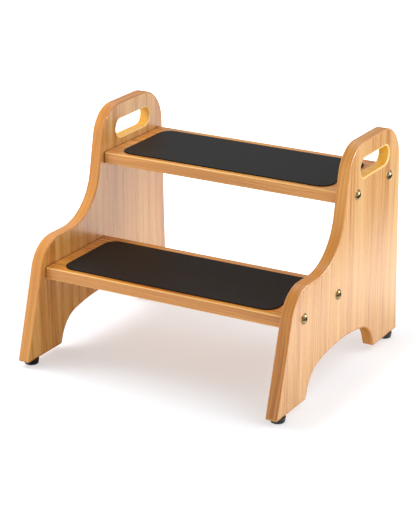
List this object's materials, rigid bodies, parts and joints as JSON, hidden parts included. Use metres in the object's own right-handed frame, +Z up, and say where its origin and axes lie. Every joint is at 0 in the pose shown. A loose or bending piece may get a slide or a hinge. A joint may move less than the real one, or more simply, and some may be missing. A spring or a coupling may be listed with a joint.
{
  "type": "step stool",
  "caption": "Low wooden step stool with stepped, arched side panels, a hand slot at the top of each panel, and black non-slip pads on its treads.",
  "frame": {"origin": "on the floor, in the middle of the stool's outline", "axes": "+X across the stool, +Y to the back, where the upper step is, and +Z up"},
  "size_m": [0.366, 0.3342, 0.2885],
  "materials": {
    "panel_wood": "light beech-grain laminate, satin",
    "tread_wood": "light beech-grain laminate, satin",
    "edge_band": "wood-grain edge banding, satin",
    "step_pad": "matte black, finely embossed",
    "bolt_brass": "antique brass plate",
    "nut_steel": "zinc plated",
    "dowel_wood": "bare beech",
    "foot_rubber": "matte black",
    "screw_steel": "zinc plated"
  },
  "bodies": {
    "root": {"left_side_panel": "panel_wood", "left_outer_edge_band": "edge_band", "left_arch_edge_band": "edge_band", "left_front_foot_band": "edge_band", "left_rear_foot_band": "edge_band", "right_side_panel": "panel_wood", "right_outer_edge_band": "edge_band", "right_arch_edge_band": "edge_band", "right_front_foot_band": "edge_band", "right_rear_foot_band": "edge_band", "lower_tread": "tread_wood", "lower_tread_front_band": "edge_band", "lower_tread_rear_band": "edge_band", "lower_step_pad": "step_pad", "lower_left_front_bolt": "bolt_brass", "lower_left_front_barrel_nut": "nut_steel", "lower_left_rear_bolt": "bolt_brass", "lower_left_rear_barrel_nut": "nut_steel", "lower_left_dowel": "dowel_wood", "lower_right_front_bolt": "bolt_brass", "lower_right_front_barrel_nut": "nut_steel", "lower_right_rear_bolt": "bolt_brass", "lower_right_rear_barrel_nut": "nut_steel", "lower_right_dowel": "dowel_wood", "upper_tread": "tread_wood", "upper_tread_front_band": "edge_band", "upper_tread_rear_band": "edge_band", "upper_step_pad": "step_pad", "upper_left_front_bolt": "bolt_brass", "upper_left_front_barrel_nut": "nut_steel", "upper_left_rear_bolt": "bolt_brass", "upper_left_rear_barrel_nut": "nut_steel", "upper_left_dowel": "dowel_wood", "upper_right_front_bolt": "bolt_brass", "upper_right_front_barrel_nut": "nut_steel", "upper_right_rear_bolt": "bolt_brass", "upper_right_rear_barrel_nut": "nut_steel", "upper_right_dowel": "dowel_wood", "left_front_foot": "foot_rubber", "left_front_foot_screw": "screw_steel", "left_rear_foot": "foot_rubber", "left_rear_foot_screw": "screw_steel", "right_front_foot": "foot_rubber", "right_front_foot_screw": "screw_steel", "right_rear_foot": "foot_rubber", "right_rear_foot_screw": "screw_steel"}
  },
  "joints": []
}
